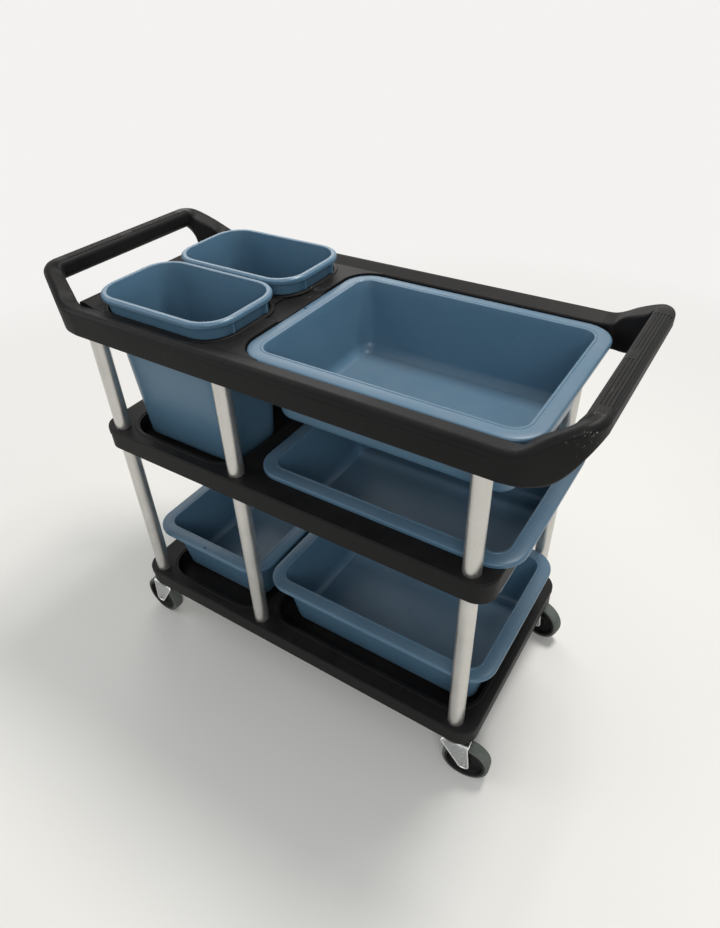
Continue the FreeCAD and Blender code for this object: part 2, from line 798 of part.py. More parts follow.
def stem():
    """King pin with its riveted head, the fixed plate and the shank that enters the post."""
    under = fork_top - fork_thick
    plate_low = race_low() + ring_thick
    plate_high = bottom_top - bottom_skirt
    pin_r = pin_dia / 2
    lip, height, bevel = pin_head
    head_r = pin_r + lip
    end = bottom_top + spigot_length - pin_short
    profile = [
        (0, under - height),
        (head_r - bevel, under - height),
        (head_r, under - bevel),
        (head_r, under),
        (pin_r, under),
        (pin_r, plate_low),
        (race_dia / 2, plate_low),
        (race_dia / 2, plate_high),
        (pin_r, plate_high),
        (pin_r, end),
        (0, end),
    ]
    return turned(profile)


# Fixings

def bored(outer, bore, x, y, z0, z1):
    """Upright ring or tube."""
    return cylinder(outer, x, y, z0, z1).cut(cylinder(bore, x, y, z0 - cut_over, z1 + cut_over))


def tube(x, y, z0, z1):
    return bored(post_r, post_r - post_wall, x, y, z0, z1)


def spigot(x, y):
    """Turned piece through the middle shelf that joins a lower post to the upper one."""
    fit_r = post_r - post_wall - socket_gap
    pin_r = pin_dia / 2
    seat = lower_seat()
    profile = [
        (0, seat - spigot_length),
        (fit_r, seat - spigot_length),
        (fit_r, seat),
        (pin_r, seat),
        (pin_r, mid_top),
        (fit_r, mid_top),
        (fit_r, mid_top + spigot_length),
        (0, mid_top + spigot_length),
    ]
    return turned(profile, x, y)


def foot_plug(x, y):
    """Plug in the lower end of a post, round the caster's shank or the bolt."""
    outer = post_r - post_wall - socket_gap
    return bored(outer, pin_dia / 2 + socket_gap, x, y, bottom_top, bottom_top + spigot_length)


def foot_washer(x, y):
    top = bottom_top - bottom_skirt
    return bored(washer_dia / 2, pin_dia / 2 + socket_gap, x, y, top - washer_thick, top)


def foot_bolt(x, y):
    low = bottom_top - bottom_skirt - washer_thick
    head = hexagon(bolt_head, x, y, low - bolt_head_height, low)
    shank = cylinder(pin_dia / 2, x, y, low - cut_over, bottom_top + spigot_length - pin_short)
    return head.fuse(shank)


def write(name, shape):
    shape.exportStep(os.path.join("parts", name + ".step"))


def main():
    os.makedirs("parts", exist_ok=True)
    write("top_shelf", top_shelf())
    write("mid_shelf", mid_shelf())
    write("bottom_shelf", bottom_shelf())

    places = post_places()
    for name, (x, y) in places.items():
        write("upper_post_" + name, tube(x, y, mid_top, upper_seat()))
        write("lower_post_" + name, tube(x, y, bottom_top, lower_seat()))
    middles = [place for name, place in places.items() if name.endswith("mid")]
    write("post_spigots", Part.makeCompound([spigot(x, y) for x, y in places.values()]))
    write("foot_plugs", Part.makeCompound([foot_plug(x, y) for x, y in places.values()]))
    write("foot_washers", Part.makeCompound([foot_washer(x, y) for x, y in middles]))
    write("foot_bolts", Part.makeCompound([foot_bolt(x, y) for x, y in middles]))

    rest_z = tub_height - tub_rim_depth
    write("top_tub", tub(tub_x, ledge_top - rest_z, tub_length))
    write("mid_tub", tub(tub_x, mid_top - rest_z, tub_length))
    write("low_large_tub", tub(low_tub_x, tray_floor, tub_length))
    write("low_small_tub", tub(small_tub_x, tray_floor, small_tub_length))
    write("front_bin", bin_with_ribs(-bin_y()))
    write("back_bin", bin_with_ribs(bin_y()))

    makers = {"stem": stem, "ring": ring, "fork": fork, "axle": axle, "wheel": wheel, "tyre": tyre}
    for corner, yaw in caster_yaw.items():
        x, y = places[corner]
        for part, make in makers.items():
            solid = make()
            solid.rotate(V(0, 0, 0), V(0, 0, 1), yaw)
            solid.translate(V(x, y, 0))
            write(corner + "_" + part, solid)


main()
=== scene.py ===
import json
import math
from collections import namedtuple

import bpy
from mathutils import Matrix, Vector


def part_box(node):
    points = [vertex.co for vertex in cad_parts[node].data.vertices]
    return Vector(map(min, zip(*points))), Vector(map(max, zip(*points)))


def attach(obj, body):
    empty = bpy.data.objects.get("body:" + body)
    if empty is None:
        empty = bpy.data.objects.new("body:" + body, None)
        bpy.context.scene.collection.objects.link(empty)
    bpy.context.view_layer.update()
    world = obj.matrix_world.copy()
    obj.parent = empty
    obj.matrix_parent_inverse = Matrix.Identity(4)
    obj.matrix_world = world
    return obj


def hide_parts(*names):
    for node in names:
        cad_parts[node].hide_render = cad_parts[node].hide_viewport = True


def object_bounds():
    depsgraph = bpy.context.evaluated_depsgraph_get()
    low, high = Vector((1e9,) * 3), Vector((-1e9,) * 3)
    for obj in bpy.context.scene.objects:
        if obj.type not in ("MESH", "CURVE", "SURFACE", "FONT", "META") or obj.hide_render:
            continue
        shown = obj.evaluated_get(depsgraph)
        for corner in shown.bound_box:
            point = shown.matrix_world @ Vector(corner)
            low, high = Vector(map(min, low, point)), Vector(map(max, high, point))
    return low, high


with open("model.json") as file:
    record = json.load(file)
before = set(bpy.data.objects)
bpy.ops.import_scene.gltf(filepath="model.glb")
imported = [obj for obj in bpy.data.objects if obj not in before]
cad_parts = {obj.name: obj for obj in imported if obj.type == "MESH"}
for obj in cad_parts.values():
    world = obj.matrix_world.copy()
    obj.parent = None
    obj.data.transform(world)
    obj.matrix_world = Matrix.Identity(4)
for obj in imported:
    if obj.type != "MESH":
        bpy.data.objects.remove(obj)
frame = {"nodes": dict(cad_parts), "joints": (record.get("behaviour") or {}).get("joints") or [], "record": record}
cad_low, cad_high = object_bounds()
nodes = frame["nodes"]
joints = {j["name"]: j for j in frame["joints"]}
mm = 0.001


# Materials

class Nodes:
    """A new material and short ways to add and join its nodes."""

    def __init__(self, name):
        self.material = bpy.data.materials.new(name)
        self.material.use_nodes = True
        self.tree = self.material.node_tree
        self.shader = self.tree.nodes["Principled BSDF"]
        self.output = self.tree.nodes["Material Output"]
        coords = self.tree.nodes.new("ShaderNodeTexCoord")
        self.place = coords.outputs["Object"]

    def add(self, kind, **settings):
        node = self.tree.nodes.new(kind)
        for key, value in settings.items():
            setattr(node, key, value)
        return node

    def link(self, a, b):
        self.tree.links.new(a, b)

    def put(self, socket, value):
        if isinstance(value, bpy.types.NodeSocket):
            self.link(value, socket)
        else:
            socket.default_value = value

    def scaled(self, scale, turn=(0, 0, 0)):
        node = self.add("ShaderNodeMapping")
        node.inputs["Scale"].default_value = scale
        node.inputs["Rotation"].default_value = turn
        self.link(self.place, node.inputs["Vector"])
        return node.outputs["Vector"]

    def noise(self, scale, detail=3.0, rough=0.5, vector=None, distortion=0.0):
        node = self.add("ShaderNodeTexNoise")
        node.inputs["Scale"].default_value = scale
        node.inputs["Detail"].default_value = detail
        node.inputs["Roughness"].default_value = rough
        node.inputs["Distortion"].default_value = distortion
        self.link(vector or self.place, node.inputs["Vector"])
        return node.outputs["Fac"]

    def voronoi(self, scale):
        node = self.add("ShaderNodeTexVoronoi")
        node.inputs["Scale"].default_value = scale
        self.link(self.place, node.inputs["Vector"])
        return node.outputs["Distance"]

    def span(self, value, low, high, to_low=0.0, to_high=1.0):
        """A value's range from low to high, spread over another range and held at its ends."""
        node = self.add("ShaderNodeMapRange")
        node.clamp = True
        self.link(value, node.inputs["Value"])
        node.inputs["From Min"].default_value = low
        node.inputs["From Max"].default_value = high
        node.inputs["To Min"].default_value = to_low
        node.inputs["To Max"].default_value = to_high
        return node.outputs["Result"]

    def maths(self, kind, a, b):
        node = self.add("ShaderNodeMath", operation=kind)
        self.put(node.inputs[0], a)
        self.put(node.inputs[1], b)
        return node.outputs["Value"]

    def blend(self, share, a, b):
        node = self.add("ShaderNodeMix", data_type="RGBA")
        self.put(node.inputs["Factor"], share)
        self.put(node.inputs[6], a if isinstance(a, bpy.types.NodeSocket) else (*a, 1))
        self.put(node.inputs[7], b if isinstance(b, bpy.types.NodeSocket) else (*b, 1))
        return node.outputs[2]

    def bump(self, height, strength, distance, normal=None):
        node = self.add("ShaderNodeBump")
        node.inputs["Strength"].default_value = strength
        node.inputs["Distance"].default_value = distance
        self.link(height, node.inputs["Height"])
        if normal:
            self.link(normal, node.inputs["Normal"])
        return node.outputs["Normal"]

    def near(self, point, radius, soft):
        """1 close to a point of the object, falling to 0 outside the radius."""
        node = self.add("ShaderNodeVectorMath", operation="DISTANCE")
        self.link(self.place, node.inputs[0])
        node.inputs[1].default_value = point
        return self.span(node.outputs["Value"], radius - soft, radius, 1.0, 0.0)

    def upward(self):
        geometry = self.add("ShaderNodeNewGeometry")
        parts = self.add("ShaderNodeSeparateXYZ")
        self.link(geometry.outputs["Normal"], parts.inputs["Vector"])
        return parts.outputs["Z"]

    def finish(self, colour, roughness, normal=None, metallic=0.0, specular=0.5):
        self.put(self.shader.inputs["Base Color"], colour)
        self.put(self.shader.inputs["Roughness"], roughness)
        if normal is not None:
            self.link(normal, self.shader.inputs["Normal"])
        self.shader.inputs["Metallic"].default_value = metallic
        self.shader.inputs["Specular IOR Level"].default_value = specular
        return self.material


def srgb(r, g, b):
    def linear(c):
        c /= 255
        return c / 12.92 if c <= 0.04045 else ((c + 0.055) / 1.055) ** 2.4
    return (linear(r), linear(g), linear(b))


def shelf_plastic():
    """Black grained moulding: a fine leather-like grain, a faint pale film on its upward faces that is partly dust
    and partly painted sheen, and a few scuffs.
    """
    n = Nodes("shelf_plastic")
    cloud = n.span(n.noise(7, 4, 0.55), 0.35, 0.68)
    colour = n.blend(cloud, srgb(18, 17, 17), srgb(24, 23, 23))
    # Upward faces are paled to a warm grey: partly settled dust, partly a painted sheen where the light falls on
    # the tops.
    facing_up = n.span(n.upward(), 0.55, 1.0)
    dust = n.maths("MULTIPLY", facing_up, n.span(n.noise(16, 6, 0.65), 0.42, 0.75, 0.0, 0.14))
    colour = n.blend(dust, colour, srgb(66, 62, 58))
    scratch_map = n.scaled((260, 48, 120), (0.5, 0.3, 0.9))
    scratch = n.span(n.noise(1.0, 4, 0.65, scratch_map, 1.2), 0.62, 0.68)
    # Worn spots, as point and radius: two on the near arm, two on the far arm, one on the web
    low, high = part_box("top_shelf")
    spots = (
        ((high.x - 24 * mm, low.y + 28 * mm, high.z - 6 * mm), 0.032),
        ((high.x - 14 * mm, low.y + 52 * mm, high.z - 4 * mm), 0.034),
        ((low.x + 92 * mm, high.y - 66 * mm, high.z - 8 * mm), 0.036),
        ((low.x + 118 * mm, high.y - 62 * mm, high.z - 22 * mm), 0.030),
        ((low.x + 456 * mm, high.y - 182 * mm, low.z + 46 * mm), 0.030),
    )
    soft = 0.02
    worn = n.near(*spots[0], soft)
    for point, radius in spots[1:]:
        worn = n.maths("MAXIMUM", worn, n.near(point, radius, soft))
    scuff = n.maths("MULTIPLY", worn, scratch)
    fine_map = n.scaled((240, 18, 60), (0.2, 0.1, 0.5))
    fine = n.span(n.noise(1.0, 3, 0.6, fine_map), 0.70, 0.76, 0.0, 0.12)
    scuff = n.maths("MAXIMUM", scuff, fine)
    colour = n.blend(scuff, colour, srgb(150, 146, 142))
    grain = n.voronoi(900)
    pores = n.noise(1600, 2, 0.5)
    height = n.maths("ADD", n.maths("MULTIPLY", grain, 0.7), n.maths("MULTIPLY", pores, 0.6))
    normal = n.bump(height, 0.22, 0.00025)
    waves = n.noise(26, 2, 0.4)
    normal = n.bump(waves, 0.12, 0.0015, normal)
    rough = n.maths("ADD", n.span(cloud, 0, 1, 0.46, 0.56), n.maths("MULTIPLY", dust, 0.3))
    return n.finish(colour, rough, normal, 0.0, 0.13)


def tub_plastic():
    """Slate-blue polypropylene with a satin skin, hairline scratches and a paler painted sheen on its upward
    faces.
    """
    n = Nodes("tub_plastic")
    cloud = n.span(n.noise(5, 4, 0.6), 0.3, 0.7)
    colour = n.blend(cloud, srgb(72, 102, 123), srgb(80, 109, 129))
    # Upward faces are paled towards grey: a painted sheen that stands for the light reflected off the tops.
    facing_up = n.span(n.upward(), 0.7, 1.0)
    painted_sheen = n.maths("MULTIPLY", facing_up, n.span(n.noise(11, 5, 0.6), 0.3, 0.75, 0.1, 0.45))
    colour = n.blend(painted_sheen, colour, srgb(104, 117, 127))
    along = n.noise(1.0, 4, 0.7, n.scaled((320, 10, 40), (0.1, 0.2, 0.35)), 0.3)
    hair = n.span(along, 0.70, 0.74, 0.0, 0.18)
    across = n.noise(1.0, 4, 0.7, n.scaled((12, 300, 50), (0.3, 0.1, -0.4)), 0.3)
    hair = n.maths("MAXIMUM", hair, n.span(across, 0.71, 0.75, 0.0, 0.14))
    colour = n.blend(hair, colour, srgb(158, 176, 190))
    skin = n.noise(1300, 2, 0.5)
    normal = n.bump(skin, 0.10, 0.00018)
    normal = n.bump(n.noise(20, 2, 0.4), 0.14, 0.0018, normal)
    rough = n.maths("ADD", n.span(cloud, 0, 1, 0.27, 0.34), n.maths("MULTIPLY", painted_sheen, 0.2))
    return n.finish(colour, rough, normal, 0.0, 0.32)


def post_aluminium():
    """Satin drawn tube: fine lines along its length, faint handling marks."""
    n = Nodes("post_aluminium")
    lines = n.noise(1.0, 4, 0.6, n.scaled((900, 900, 7)))
    patch = n.span(n.noise(13, 5, 0.6), 0.35, 0.7)
    colour = n.blend(patch, srgb(198, 196, 191), srgb(210, 208, 203))
    mark = n.span(n.noise(1.0, 5, 0.75, n.scaled((70, 70, 26))), 0.68, 0.74, 0.0, 0.4)
    colour = n.blend(mark, colour, srgb(148, 146, 142))
    rough = n.maths("ADD", n.span(lines, 0.3, 0.7, 0.27, 0.38), n.span(patch, 0, 1, -0.03, 0.04))
    return n.finish(colour, rough, n.bump(lines, 0.10, 0.00012), 0.92, 0.5)


def zinc_steel():
    """Bright zinc on pressed steel, with soft spangle and press marks."""
    n = Nodes("zinc_steel")
    spangle = n.voronoi(150)
    patch = n.noise(45, 4, 0.6)
    colour = n.blend(n.span(spangle, 0.0, 0.75), srgb(205, 207, 207), srgb(178, 181, 182))
    colour = n.blend(n.span(patch, 0.55, 0.8, 0.0, 0.5), colour, srgb(150, 150, 146))
    rough = n.span(patch, 0.3, 0.7, 0.26, 0.42)
    normal = n.bump(n.noise(700, 3, 0.5), 0.08, 0.0001)
    normal = n.bump(patch, 0.10, 0.0006, normal)
    return n.finish(colour, rough, normal, 1.0, 0.5)


def zinc_edge_highlight():
    """The rolled edge of the pressing, painted brighter than its face as a highlight along the edge."""
    n = Nodes("zinc_edge_highlight")
    patch = n.noise(60, 4, 0.6)
    colour = n.blend(n.span(patch, 0.35, 0.75), srgb(244, 245, 244), srgb(222, 223, 221))
    return n.finish(colour, n.span(patch, 0.3, 0.7, 0.3, 0.42), n.bump(patch, 0.08, 0.0004), 0.8, 0.5)


def fixing_steel():
    """Turned and rolled steel fixings, darker in random patches."""
    n = Nodes("fixing_steel")
    lines = n.noise(1.0, 3, 0.6, n.scaled((60, 60, 1400)))
    patch = n.noise(80, 4, 0.6)
    colour = n.blend(n.span(patch, 0.4, 0.7), srgb(176, 176, 173), srgb(128, 127, 124))
    rough = n.span(patch, 0.3, 0.7, 0.28, 0.45)
    return n.finish(colour, rough, n.bump(lines, 0.12, 0.0001), 1.0, 0.5)


def plug_plastic():
    """Dark grey moulded plugs, spigots and rings."""
    n = Nodes("plug_plastic")
    cloud = n.noise(60, 4, 0.6)
    colour = n.blend(n.span(cloud, 0.35, 0.7), srgb(44, 44, 46), srgb(64, 64, 65))
    return n.finish(colour, n.span(cloud, 0.3, 0.7, 0.42, 0.58), n.bump(n.noise(1500, 2), 0.15, 0.0002))


def wheel_plastic():
    """Black nylon wheel centre with moulding ripples."""
    n = Nodes("wheel_plastic")
    cloud = n.noise(55, 4, 0.6)
    colour = n.blend(n.span(cloud, 0.35, 0.75), srgb(11, 11, 12), srgb(19, 19, 19))
    dust = n.maths("MULTIPLY", n.span(n.noise(120, 5, 0.7), 0.55, 0.8, 0.0, 0.3), n.span(cloud, 0.4, 0.6))
    colour = n.blend(dust, colour, srgb(52, 49, 45))
    normal = n.bump(n.noise(1200, 2), 0.12, 0.0002)
    return n.finish(colour, n.span(cloud, 0.3, 0.7, 0.4, 0.55), normal, 0.0, 0.15)


def tread_rubber():
    """Grey-black tread, matt, with dust worked into it."""
    n = Nodes("tread_rubber")
    cloud = n.noise(38, 5, 0.65)
    colour = n.blend(n.span(cloud, 0.35, 0.7), srgb(72, 76, 73), srgb(92, 97, 92))
    dust = n.span(n.noise(160, 6, 0.7), 0.52, 0.78, 0.0, 0.35)
    colour = n.blend(dust, colour, srgb(128, 122, 112))
    height = n.maths("ADD", n.noise(900, 4, 0.7), n.maths("MULTIPLY", cloud, 0.4))
    rough = n.span(cloud, 0.3, 0.7, 0.66, 0.85)
    return n.finish(colour, rough, n.bump(height, 0.25, 0.0003), 0.0, 0.4)


MATERIALS = {make.__name__: make() for make in (
    shelf_plastic, tub_plastic, post_aluminium, zinc_steel, zinc_edge_highlight, fixing_steel, plug_plastic,
    wheel_plastic, tread_rubber,
)}


def slot_of(node):
    """The record's slot for a CAD node."""
    for start, slot in (
        ("post_spigots", "plug_plastic"), ("foot_plugs", "plug_plastic"), ("foot_", "fixing_steel"),
    ):
        if node.startswith(start):
            return slot
    for end, slot in (
        ("_shelf", "shelf_plastic"), ("_tub", "tub_plastic"), ("_bin", "tub_plastic"),
        ("_fork", "zinc_steel"), ("_ring", "plug_plastic"), ("_wheel", "wheel_plastic"),
        ("_tyre", "tread_rubber"), ("_stem", "fixing_steel"), ("_axle", "fixing_steel"),
    ):
        if node.endswith(end):
            return slot
    return "post_aluminium"


for name, obj in nodes.items():
    material = MATERIALS[slot_of(name)]
    if obj.material_slots:
        for place in obj.material_slots:
            place.material = material
    else:
        obj.data.materials.append(material)


# Mesh helpers

def mesh_piece(name, body, points, faces, slot, sharp, edge=()):
    """A visible piece on a body. Creases over the sharp angle stay hard, and edge lists the faces painted bright
    as a highlight.
    """
    mesh = bpy.data.meshes.new(name)
    mesh.from_pydata([tuple(p) for p in points], [], faces)
    mesh.validate()
    mesh.update()
    mesh.shade_smooth()
    mesh.set_sharp_from_angle(angle=math.radians(sharp))
    mesh.materials.append(MATERIALS[slot])
    # The listed edge faces take the brighter zinc, a painted highlight along the turned edge.
    if edge:
        mesh.materials.append(MATERIALS["zinc_edge_highlight"])
        for k in edge:
            mesh.polygons[k].material_index = 1
    obj = bpy.data.objects.new(name, mesh)
    bpy.context.scene.collection.objects.link(obj)
    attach(obj, body)
    return obj


def joined_rings(rings, closed_ends=True):
    """Points and faces of a skin through rings that have equal counts."""
    count = len(rings[0])
    points = [p for ring in rings for p in ring]
    faces = []
    for i in range(len(rings) - 1):
        a, b = i * count, (i + 1) * count
        for k in range(count):
            j = (k + 1) % count
            faces.append((a + k, a + j, b + j, b + k))
    if closed_ends:
        last = (len(rings) - 1) * count
        faces.append(tuple(reversed(range(count))))
        faces.append(tuple(range(last, last + count)))
    return points, faces


def circle(count):
    """Cosine and sine of equal steps round a circle."""
    return [(math.cos(2 * math.pi * k / count), math.sin(2 * math.pi * k / count)) for k in range(count)]


def middle_and_size(node):
    """Plan middle of a CAD node's box, its underside and its length, width and height."""
    low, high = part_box(node)
    return (low.x + high.x) / 2, (low.y + high.y) / 2, low.z, high.x - low.x, high.y - low.y, high.z - low.z


def body_of(node):
    """The body that carries a CAD node."""
    for body, members in frame["record"]["behaviour"]["bodies"].items():
        if node in members:
            return body
    return "trolley"


# Tubs and bins

CORNER_STEPS = 12
SIDE_STEPS = 10
FLOOR_TURN = 65             # degrees the inner wall turns through before it meets the floor at a crisp line
TURN_RADIUS = 1.732         # of that turn, as a share of the base's inner rounding
TURN_RISE = 1.57            # and the height at which it starts
HOLE_INSET = 7 * mm         # from a rim's edge to the middle of its hang hole
HOLE_RADIUS = 3.6 * mm

Mould = namedtuple("Mould", "rim rim_depth corner base_corner base_round taper wall bow detailed")
TUB = Mould(26 * mm, 10 * mm, 56 * mm, 30 * mm, 16 * mm, (15 * mm, 20 * mm), 3 * mm, 0.9 * mm, True)
BIN = Mould(8 * mm, 10 * mm, 62 * mm, 28 * mm, 14 * mm, (22 * mm, 25 * mm), 3 * mm, 0.6 * mm, False)


def rounded_ring(cx, cy, half_x, half_y, radius, z, bow=0.0):
    """A level rounded rectangle; bow pulls the middles of its sides inwards."""
    radius = max(min(radius, half_x - mm, half_y - mm), 0.6 * mm)
    points = []
    corners = [(1, -1, -90), (1, 1, 0), (-1, 1, 90), (-1, -1, 180)]
    for i, (sx, sy, start) in enumerate(corners):
        px, py = cx + sx * (half_x - radius), cy + sy * (half_y - radius)
        arc = []
        for k in range(CORNER_STEPS + 1):
            a = math.radians(start + 90 * k / CORNER_STEPS)
            arc.append(Vector((px + radius * math.cos(a), py + radius * math.sin(a), z)))
        points += arc
        tx, ty, turn = corners[(i + 1) % 4]
        qx, qy = cx + tx * (half_x - radius), cy + ty * (half_y - radius)
        a = math.radians(turn)
        end = Vector((qx + radius * math.cos(a), qy + radius * math.sin(a), z))
        inward = Vector((-math.cos(a), -math.sin(a), 0))
        for k in range(1, SIDE_STEPS):
            share = k / SIDE_STEPS
            pull = bow * (1 - (2 * share - 1) ** 2)
            points.append(arc[-1].lerp(end, share) + inward * pull)
    return points


def circle_like(ring, cx, cy, radius, z):
    """A circle with a point in line with each point of a ring."""
    out = []
    for p in ring:
        a = math.atan2(p.y - cy, p.x - cx)
        out.append(Vector((cx + radius * math.cos(a), cy + radius * math.sin(a), z)))
    return out


def container(node, mould):
    """The skin of a moulded container, from the middle of its base, over the rim and in to its floor.

    A detailed one has a groove round its rim and a gate mark in its floor.
    """
    rim, rim_depth, corner, base_corner, base_round, taper, wall, bow, detailed = mould
    cx, cy, z0, length, width, height = middle_and_size(node)

    def wall_ring(rise, inset, sag=1.0):
        share = 1 - rise / height
        half_x = length / 2 - rim - taper[0] * share - inset
        half_y = width / 2 - rim - taper[1] * share - inset
        radius = (corner - rim) * (1 - share) + base_corner * share - inset
        pull = bow * max(0.0, math.sin(math.pi * min(max(rise / height, 0), 1))) * sag
        return rounded_ring(cx, cy, half_x, half_y, radius, z0 + rise, pull)

    def rim_ring(drop, inset):
        half_x, half_y = length / 2 - inset, width / 2 - inset
        return rounded_ring(cx, cy, half_x, half_y, corner - inset, z0 + height - drop)

    rings = []
    for k in range(7):
        a = math.radians(90 * k / 6)
        rings.append(wall_ring(base_round * (1 - math.cos(a)), base_round * (1 - math.sin(a))))
    for k in range(1, 6):
        rings.append(wall_ring(base_round + (height - rim_depth - base_round - 4 * mm) * k / 6, 0))
    under = min(wall, rim_depth * 0.5)
    rings.append(wall_ring(height - rim_depth - 3 * mm, 0, 0.2))
    rings.append(wall_ring(height - under - 1.5 * mm, 0, 0.1))
    rings.append(wall_ring(height - under, -1.2 * mm, 0))
    # The rim from its hollow underside to its outer edge, as drop from the top and inset from the edge
    rings += [rim_ring(drop, inset) for drop, inset in (
        (under, wall), (rim_depth - 0.3 * mm, wall), (rim_depth, wall * 0.8), (rim_depth, 0.5 * mm),
        (rim_depth - 0.5 * mm, 0.1 * mm), (rim_depth * 0.5, 0.0),
    )]
    roll = min(rim_depth * 0.42, rim * 0.4)
    for k in range(1, 6):
        a = math.radians(75 * k / 5)
        drop = rim_depth * 0.5 - rim_depth * 0.42 * math.sin(a)
        rings.append(rim_ring(drop, roll * 1.3 * (1 - math.cos(a))))
    rings.append(rim_ring(0.0, rim * 0.5))
    rings.append(rim_ring(0.05 * mm, rim * 0.66))
    if detailed:
        groove = ((0.2, 0.86), (0.9, 0.895), (0.95, 0.925), (0.15, 0.955))
        rings += [rim_ring(drop * mm, rim * share) for drop, share in groove]
    lip = 1.4 * mm
    for k in range(5):
        a = math.radians(90 * k / 4)
        rise = height - 0.1 * mm - lip * (1 - math.cos(a))
        rings.append(wall_ring(rise, wall - lip * (1 - math.sin(a)), 0))
    turn = base_round - wall
    for k in range(1, 7):
        rise = height - 2 * mm - (height - 2 * mm - wall - TURN_RISE * turn) * k / 7
        rings.append(wall_ring(rise, wall))
    for k in range(9):
        a = math.radians(FLOOR_TURN * k / 8)
        along, down = TURN_RADIUS * (1 - math.cos(a)), TURN_RADIUS * math.sin(a)
        rings.append(wall_ring(wall + turn * (TURN_RISE - down), wall + turn * along))
    rings.append(wall_ring(wall - 0.1 * mm, wall + turn * 1.02))
    # A shallow channel round the floor, then the floor itself
    foot = wall + turn
    channel = ((0.0, 0.6), (-0.5, 1.1), (-0.5, 1.7), (0.1, 2.3))
    rings += [wall_ring(wall + rise * mm, foot + inset * mm, 0) for rise, inset in channel]
    half = width / 2 - rim - taper[1]
    for share in (0.3, 0.6):
        rings.append(wall_ring(wall + 0.4 * mm * share, foot + (half - foot) * share, 0))
    last = rings[-1]
    middle = [(16, 0.5)]
    if detailed:
        middle += [(6.2, 0.5), (5.8, 0.95), (5.0, 0.95), (4.6, 0.4), (1.2, 0.4), (0.9, 0.7)]
    for radius, rise in middle:
        rings.append(circle_like(last, cx, cy, radius * mm, z0 + wall + rise * mm))
    return joined_rings(rings)


def drill(piece, centre, radius, depth):
    """Cut a round hole down through a piece and leave no modifier behind."""
    count = 28
    ring = [(centre[0] + radius * c, centre[1] + radius * s) for c, s in circle(count)]
    points = [(x, y, centre[2] + rise) for rise in (-depth, depth) for x, y in ring]
    faces = [tuple(reversed(range(count))), tuple(range(count, 2 * count))]
    faces += [(k, (k + 1) % count, count + (k + 1) % count, count + k) for k in range(count)]
    mesh = bpy.data.meshes.new("drill")
    mesh.from_pydata(points, [], faces)
    cutter = bpy.data.objects.new("drill", mesh)
    bpy.context.scene.collection.objects.link(cutter)
    cut = piece.modifiers.new("hole", "BOOLEAN")
    cut.operation = "DIFFERENCE"
    cut.solver = "EXACT"
    cut.object = cutter
    view = bpy.context.evaluated_depsgraph_get()
    done = bpy.data.meshes.new_from_object(piece.evaluated_get(view))
    piece.modifiers.clear()
    old = piece.data
    piece.data = done
    bpy.data.meshes.remove(old)
    bpy.data.objects.remove(cutter)
    bpy.data.meshes.remove(mesh)
    done.set_sharp_from_angle(angle=math.radians(32))


def tub_piece(node, side):
    """A tub with a hang hole in the middle of its rim on the side given by a plan direction."""
    points, faces = container(node, TUB)
    piece = mesh_piece(node + "_shell", body_of(node), points, faces, "tub_plastic", 32)
    cx, cy, z0, length, width, height = middle_and_size(node)
    x = cx + side[0] * (length / 2 - HOLE_INSET)
    y = cy + side[1] * (width / 2 - HOLE_INSET)
    drill(piece, (x, y, z0 + height), HOLE_RADIUS, 8 * mm)
    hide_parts(node)


def bin_piece(node):
    """A bin with two stiffening ribs under its rim at each end, where it stands on the shelf."""
    points, faces = container(node, BIN)
    cx, cy, z0, length, width, height = middle_and_size(node)
    top = z0 + height - BIN.rim_depth + 1 * mm
    foot = z0 + height - 30.5 * mm
    lean = BIN.taper[0] / height
    outer = length / 2 - 2 * mm
    inner = length / 2 - BIN.rim - 3 * mm
    half = 1.75 * mm
    profile = [
        (inner, top), (outer, top), (outer, foot + 1.5 * mm), (outer - 1.5 * mm, foot),
        (length / 2 - BIN.rim - lean * 24 * mm - 2 * mm, foot),
    ]
    count = len(profile)
    for side in (-1, 1):
        for across in (-45 * mm, 45 * mm):
            start = len(points)
            for face_side in (-1, 1):
                points += [Vector((cx + side * u, cy + across + face_side * half, z)) for u, z in profile]
            faces.append(tuple(start + k for k in range(count)))
            faces.append(tuple(start + count + k for k in reversed(range(count))))
            for k in range(count):
                j = (k + 1) % count
                faces.append((start + j, start + k, start + count + k, start + count + j))
    piece = mesh_piece(node + "_shell", body_of(node), points, faces, "tub_plastic", 32)
    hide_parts(node)


tub_piece("top_tub", (-1, 0))
tub_piece("mid_tub", (-1, 0))
tub_piece("low_large_tub", (-1, 0))
tub_piece("low_small_tub", (0, -1))
bin_piece("front_bin")
bin_piece("back_bin")


# Casters

def lathe(profile, place, count):
    """Turn a closed profile of (radius, side) points about its axis. Place sets (along, side, up) points."""
    points = [place(radius * c, side, radius * s) for c, s in circle(count) for radius, side in profile]
    faces = []
    size = len(profile)
    for k in range(count):
        j = (k + 1) % count
        for i in range(size):
            n = (i + 1) % size
            faces.append((k * size + i, k * size + n, j * size + n, j * size + i))
    return points, faces


def mirrored(side):
    """A profile from the outside to the inside of one face, closed with the other face."""
    return [(r * mm, y * mm) for r, y in side] + [(r * mm, -y * mm) for r, y in reversed(side)]


